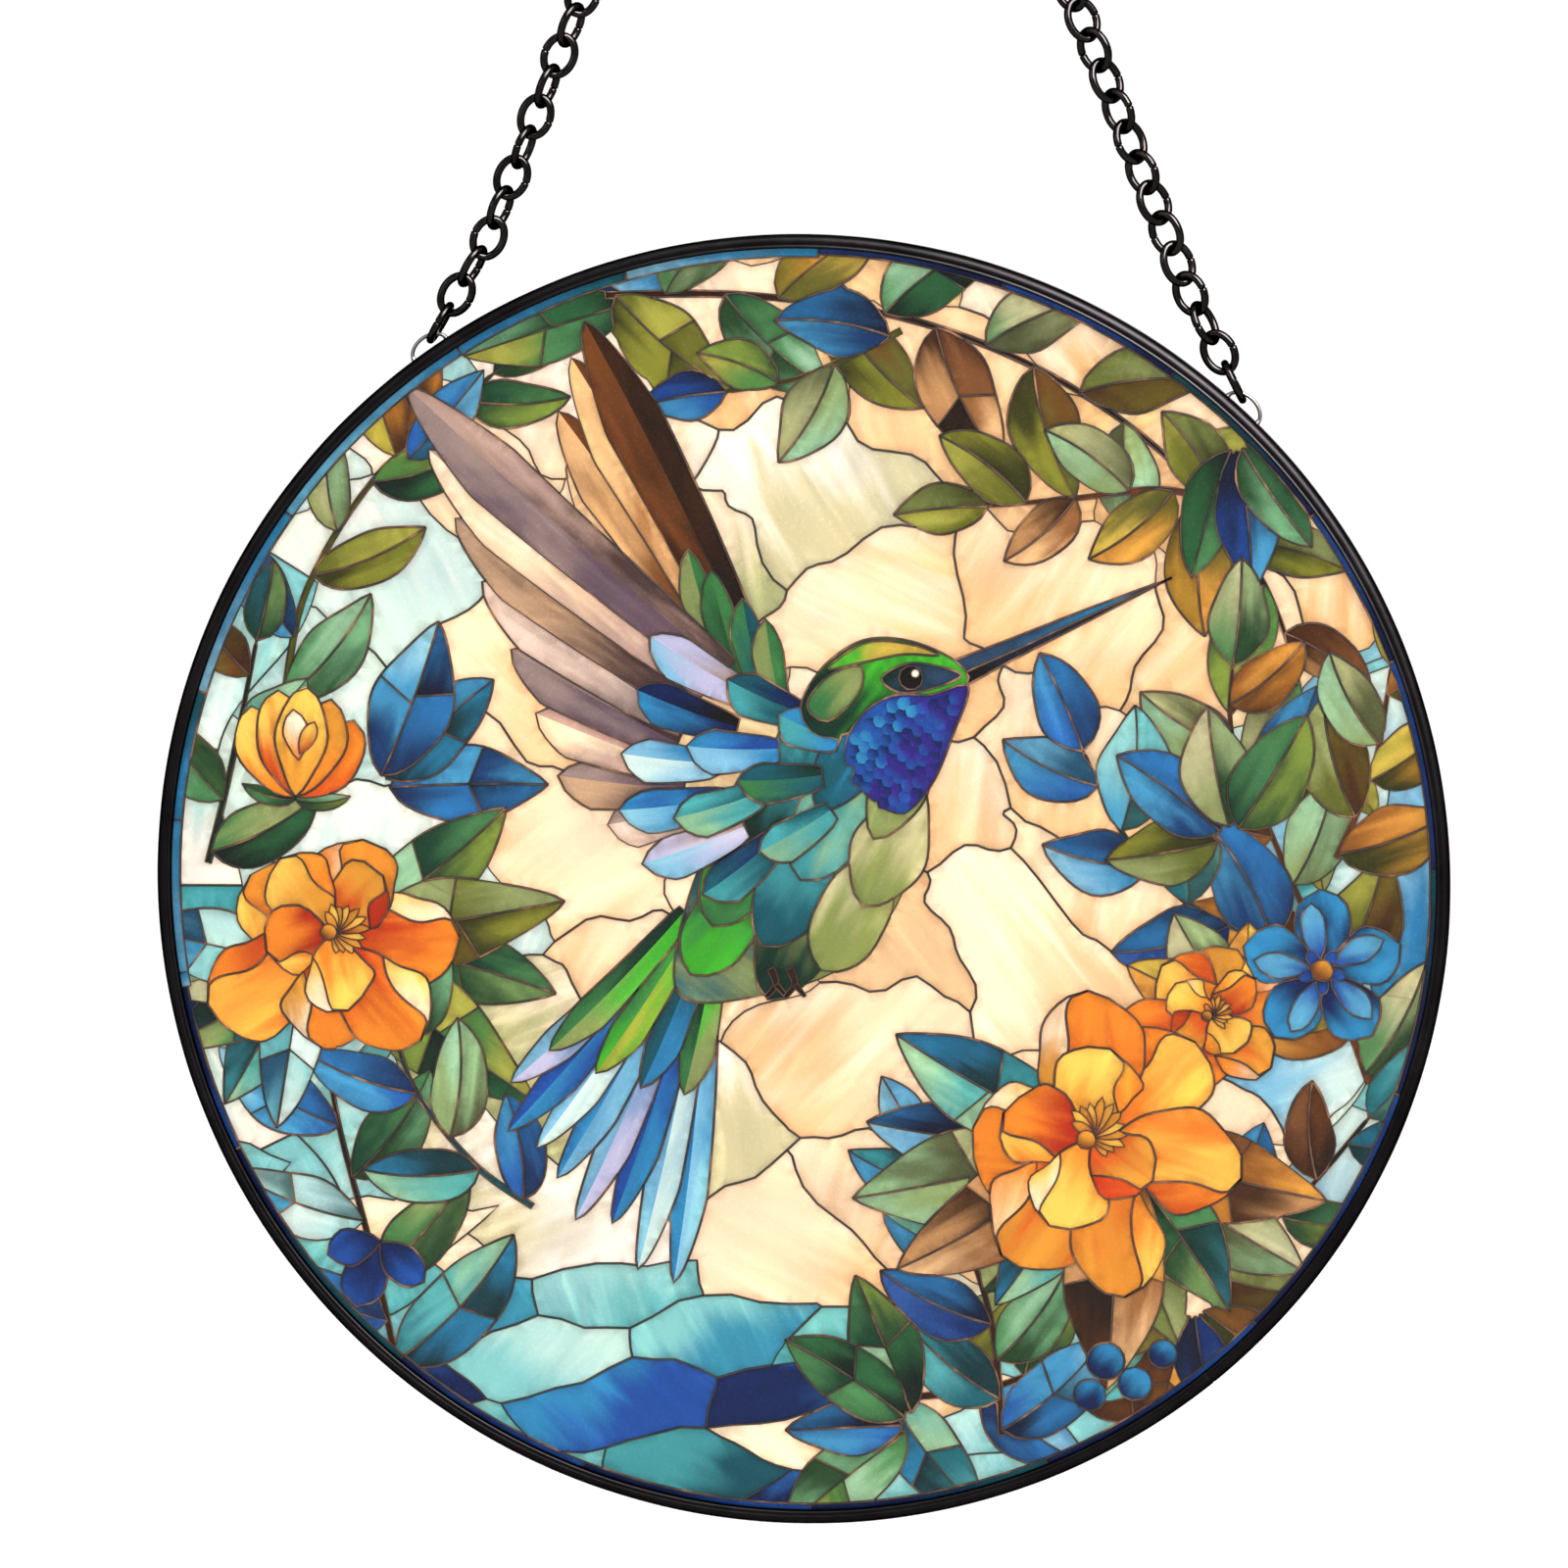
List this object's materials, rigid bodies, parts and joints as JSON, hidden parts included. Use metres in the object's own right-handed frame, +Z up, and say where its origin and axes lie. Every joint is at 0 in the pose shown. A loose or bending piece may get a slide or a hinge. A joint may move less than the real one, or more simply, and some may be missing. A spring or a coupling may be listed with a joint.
{
  "type": "stained glass suncatcher",
  "caption": "Round picture-glass disc in a thin dark metal rim, hung flat by a fine link chain from wire loops on the rim to catch light in a window.",
  "frame": {"origin": "where a hook bears, under the upper side of the chain's middle link", "axes": "+Z up along the hang line, -Y out of the picture side, +X to the viewer's right"},
  "size_m": [0.15, 0.0054, 0.2476],
  "materials": {
    "rim_metal": "satin dark bronze-black plating, rubbed brighter along the edges",
    "loop_metal": "dark plated steel wire",
    "chain_metal": "glossy black plated steel wire",
    "picture_glass": "clear glass with a coloured picture and raised dark outlines on its face"
  },
  "bodies": {
    "root": {"rim": "rim_metal", "glass_disc": "picture_glass", "hanging_loop_left": "loop_metal", "hanging_loop_right": "loop_metal", "chain_left": "chain_metal", "chain_right": "chain_metal", "chain_middle_link": "chain_metal"}
  },
  "joints": []
}
